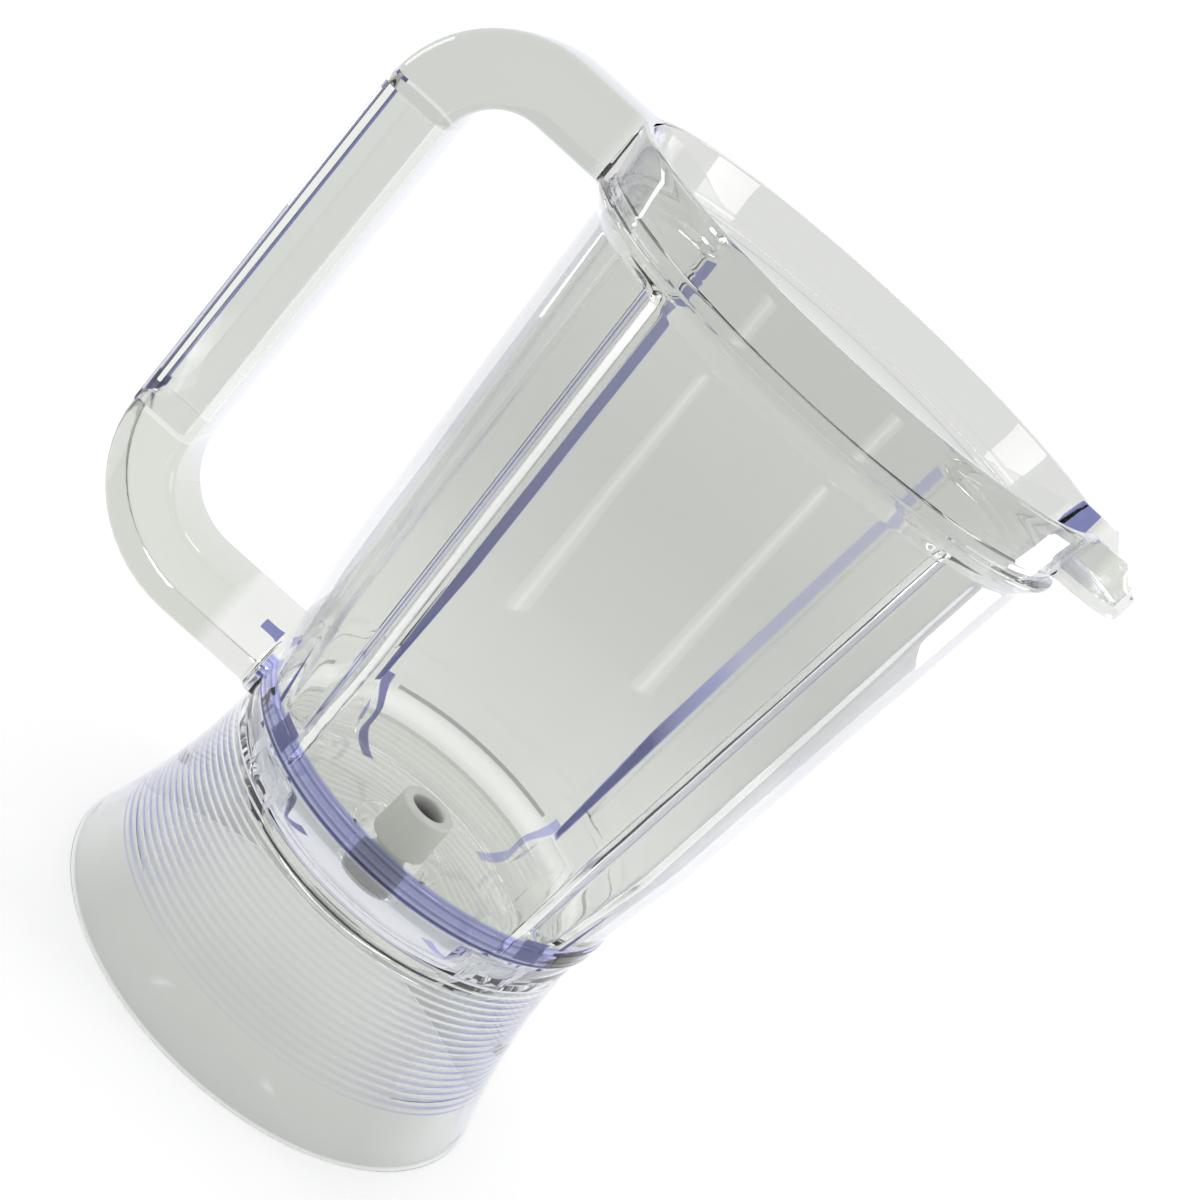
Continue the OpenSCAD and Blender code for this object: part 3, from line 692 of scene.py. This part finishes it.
def lamp(name, place, turn, wide, tall, power):
    """A rectangular lamp that shines along its own -Z."""
    data = bpy.data.lights.new(name, "AREA")
    data.shape, data.size, data.size_y, data.energy = "RECTANGLE", wide, tall, power
    lit = bpy.data.objects.new(name, data)
    lit.location = place
    lit.rotation_mode = "QUATERNION"
    lit.rotation_quaternion = turn
    bpy.context.scene.collection.objects.link(lit)
    return lit


def studio():
    """A pale floor that keeps the shadow, a white world and soft lamps."""
    world = bpy.data.worlds.new("studio")
    bpy.context.scene.world = world
    world.use_nodes = True
    tree = world.node_tree
    tree.nodes.clear()
    out = tree.nodes.new("ShaderNodeOutputWorld")
    plain, white = (tree.nodes.new("ShaderNodeBackground") for _ in range(2))
    plain.inputs["Color"].default_value = white.inputs["Color"].default_value = (1, 1, 1, 1)
    plain.inputs["Strength"].default_value = 0.6
    mix = tree.nodes.new("ShaderNodeMixShader")
    tree.links.new(seen_rays(tree), mix.inputs["Fac"])
    tree.links.new(plain.outputs[0], mix.inputs[1])
    tree.links.new(white.outputs[0], mix.inputs[2])
    tree.links.new(mix.outputs[0], out.inputs["Surface"])

    reach = 30
    data = bpy.data.meshes.new("floor")
    data.from_pydata([(-reach, -reach, 0), (reach, -reach, 0), (reach, reach, 0), (-reach, reach, 0)],
                     [], [(0, 1, 2, 3)])
    floor = bpy.data.objects.new("floor", data)
    bpy.context.scene.collection.objects.link(floor)
    made, tree, out = new_material("floor_paint")
    paint = tree.nodes.new("ShaderNodeBsdfDiffuse")
    paint.inputs["Color"].default_value = (0.8, 0.8, 0.8, 1)
    glow = tree.nodes.new("ShaderNodeEmission")
    both = tree.nodes.new("ShaderNodeAddShader")
    away = tree.nodes.new("ShaderNodeVectorMath")
    away.operation = "LENGTH"
    tree.links.new(tree.nodes.new("ShaderNodeTexCoord").outputs["Object"], away.inputs[0])
    glow_share = worked(tree, "MULTIPLY", seen_rays(tree), spread(tree, away.outputs["Value"], 0.46, 0.6, 0.4, 1.6))
    tree.links.new(glow_share, glow.inputs["Strength"])
    tree.links.new(paint.outputs[0], both.inputs[0])
    tree.links.new(glow.outputs[0], both.inputs[1])
    tree.links.new(both.outputs[0], out.inputs["Surface"])
    data.materials.append(made)

    middle = Vector((0, 0, 0.2))
    for name, place, wide, tall, power in (
        ("left", (-0.84, 0.04, 0.33), 0.34, 0.3, 1.3),
        ("right", (0.84, 0.08, 0.33), 0.42, 0.3, 1.6),
        ("back", (0.1, 0.9, 0.9), 0.4, 0.2, 1.0),
    ):
        lamp(name, place, (Vector(place) - middle).to_track_quat("Z", "Y"), wide, tall, power)
    # two low panels that the near side of the collar mirrors
    for name, place, toward, wide, tall, power in (
        ("panel_left", (-0.42, 0.2, 0.1), (-0.057, -0.039, 0.219), 0.17, 0.08, 0.22),
        ("panel_right", (0.395, 0.225, 0.095), (0.058, -0.037, 0.217), 0.17, 0.06, 0.14),
    ):
        lit = lamp(name, place, (Vector(place) - Vector(toward)).to_track_quat("Z", "Y"), wide, tall, power)
        lit.visible_camera = lit.visible_transmission = False
    # two strips that lie on the floor in front and draw the bright upright lines on the vessel
    for name, place, turn, tall in (("strip_left", (-0.28, -0.394, 0.004), -0.732, 0.33),
                                    ("strip_right", (0.209, -0.448, 0.004), 0.361, 0.31)):
        for wide, power in ((0.012, 0.035), (0.03, 0.05), (0.055, 0.06)):
            lit = lamp(name, place, Euler((math.pi, 0, turn)).to_quaternion(), wide, tall, power)
            lit.visible_camera = lit.visible_transmission = False


camera()
studio()
clear, pale = clear_plastic(), bush_plastic()

radii, heights = body_rows()
body = turned("jar_body_clear", radii, heights, TURN)
joined(body, handle(), "UNION")
joined(body, pocket(), "DIFFERENCE")
smoothed(body, 32)
body.data.materials.clear()
body.data.materials.append(clear)
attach(body, "root")
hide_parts("jar_body")

even = np.radians(np.arange(0, 360, 4))
bush_line = softened([(7.2, 49), (7.2, 50), (8.3, 50), (7.7, 62.5), (5, 62.5), (4.2, 57), (4.2, 32),
                      (7.2, 32), (7.2, 49)], 0.5)
bush_rows = np.repeat(bush_line[:, None], len(even), 1)
bush = turned("spindle_bush_pale", bush_rows[:-1, :, 0], bush_rows[:-1, :, 1], even)
smoothed(bush, 32)
bush.data.materials.append(pale)
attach(bush, "root")
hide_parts("spindle_bush")

bpy.context.scene.view_settings.view_transform = "Standard"
